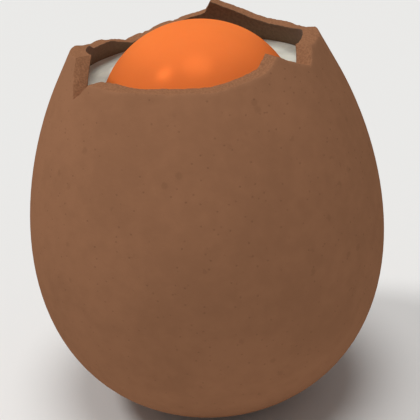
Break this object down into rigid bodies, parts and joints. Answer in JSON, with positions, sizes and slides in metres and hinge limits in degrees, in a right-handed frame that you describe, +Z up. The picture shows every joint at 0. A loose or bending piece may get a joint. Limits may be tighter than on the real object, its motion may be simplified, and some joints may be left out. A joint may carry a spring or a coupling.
{
  "type": "cracked eggshell",
  "caption": "Brown hen's egg standing on its blunt end with its narrow end broken off, a jagged rim round pale egg white and a round orange yolk.",
  "frame": {"origin": "middle of the flat spot under the egg's blunt end", "axes": "+Z up the egg's long axis; the low side of the break faces -Y and its highest point is towards +Y"},
  "size_m": [0.044, 0.044, 0.0497],
  "materials": {
    "shell": "matt brown, fine-pored",
    "white": "wet, pale and opaque",
    "yolk": "wet, smooth orange"
  },
  "bodies": {
    "root": {"eggshell": "shell", "egg_white": "white", "yolk": "yolk"}
  },
  "joints": []
}
